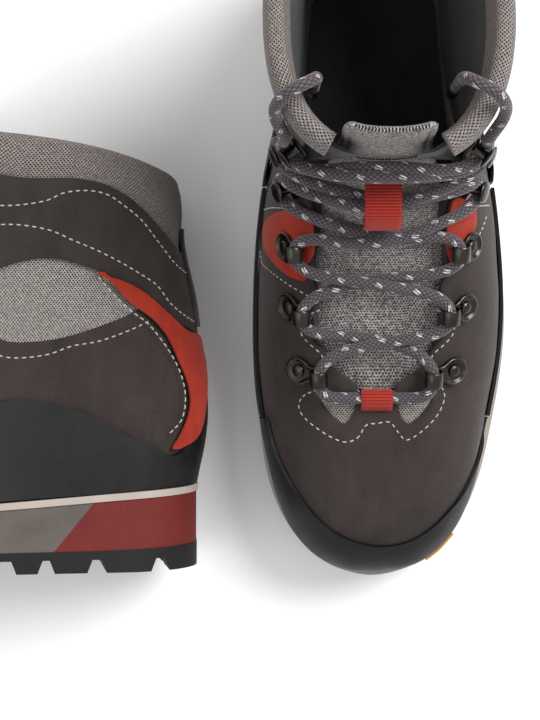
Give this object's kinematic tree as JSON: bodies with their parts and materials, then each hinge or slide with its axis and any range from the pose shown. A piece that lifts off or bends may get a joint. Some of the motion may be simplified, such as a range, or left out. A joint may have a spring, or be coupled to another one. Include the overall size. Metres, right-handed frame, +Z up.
{
  "type": "hiking boots",
  "caption": "Pair of mid-height suede and mesh hiking boots with lugged soles, laced up, one standing and one lying on its side.",
  "frame": {"origin": "middle of the pair's footprint, on the surface that it stands and lies on", "axes": "+Z up from the floor; the standing boot's toe points to -Y; the lying boot's toe points to -X and its sole to -Y"},
  "size_m": [0.4356, 0.3029, 0.2055],
  "materials": {
    "outsole_rubber": "matt moulded rubber",
    "midsole_red": "fine-skinned foam",
    "midsole_grey": "fine-skinned foam",
    "welt_beige": "matt",
    "board_fibre": "matt",
    "shank_steel": "plain",
    "footbed_felt": "felt",
    "lining_textile": "knit",
    "stiffener": "matt",
    "suede": "suede",
    "suede_dark": "suede",
    "rand_rubber": "satin",
    "nubuck_red": "nubuck",
    "mesh": "open mesh",
    "mesh_collar": "dense mesh",
    "mesh_tongue": "heather mesh",
    "webbing_red": "ribbed webbing",
    "gunmetal": "gunmetal",
    "lace_braid": "round braid",
    "aglet_plastic": "gloss"
  },
  "bodies": {
    "left_boot": {"left_aglets": "aglet_plastic", "left_ankle_band": "suede_dark", "left_ankle_mesh": "mesh", "left_collar": "mesh_collar", "left_eyestay_patches": "nubuck_red", "left_footbed": "footbed_felt", "left_front_quarters": "suede", "left_heel_counter": "stiffener", "left_heel_strip": "suede_dark", "left_heel_sweep": "nubuck_red", "left_insole_board": "board_fibre", "left_lace": "lace_braid", "left_lace_hardware": "gunmetal", "left_lining_forefoot": "lining_textile", "left_lining_shaft": "lining_textile", "left_midsole_front": "midsole_grey", "left_midsole_heel": "midsole_red", "left_outsole": "outsole_rubber", "left_rand_heel": "rand_rubber", "left_rand_toe": "rand_rubber", "left_rear_quarters": "suede", "left_shank": "shank_steel", "left_throat_mesh": "mesh", "left_toe_loop": "webbing_red", "left_toe_puff": "stiffener", "left_tongue": "mesh_tongue", "left_tongue_keeper": "webbing_red", "left_vamp": "suede", "left_welt_strip": "welt_beige"},
    "left_tongue_top": {"left_tongue_top": "mesh_tongue"},
    "right_boot": {"right_aglets": "aglet_plastic", "right_ankle_band": "suede_dark", "right_ankle_mesh": "mesh", "right_collar": "mesh_collar", "right_eyestay_patches": "nubuck_red", "right_footbed": "footbed_felt", "right_front_quarters": "suede", "right_heel_counter": "stiffener", "right_heel_strip": "suede_dark", "right_heel_sweep": "nubuck_red", "right_insole_board": "board_fibre", "right_lace": "lace_braid", "right_lace_hardware": "gunmetal", "right_lining_forefoot": "lining_textile", "right_lining_shaft": "lining_textile", "right_midsole_front": "midsole_grey", "right_midsole_heel": "midsole_red", "right_outsole": "outsole_rubber", "right_rand_heel": "rand_rubber", "right_rand_toe": "rand_rubber", "right_rear_quarters": "suede", "right_shank": "shank_steel", "right_throat_mesh": "mesh", "right_toe_loop": "webbing_red", "right_toe_puff": "stiffener", "right_tongue": "mesh_tongue", "right_tongue_keeper": "webbing_red", "right_vamp": "suede", "right_welt_strip": "welt_beige"},
    "right_tongue_top": {"right_tongue_top": "mesh_tongue"}
  },
  "joints": [
    {"name": "right_boot_slide", "type": "slide", "parent": "left_boot", "child": "right_boot", "axis": [-1, 0, 0], "range_m": [0, 0.06]},
    {"name": "left_tongue_fold", "type": "hinge", "parent": "left_boot", "child": "left_tongue_top", "pos_m": [0.1565, 0.02668, 0.14394], "axis": [1, 0, 0], "range_deg": [-12, 0]},
    {"name": "right_tongue_fold", "type": "hinge", "parent": "right_boot", "child": "right_tongue_top", "pos_m": [-0.04101, -0.00129, 0.05615], "axis": [0.1474, -0.0211, 0.9889], "range_deg": [-12, 0]}
  ]
}
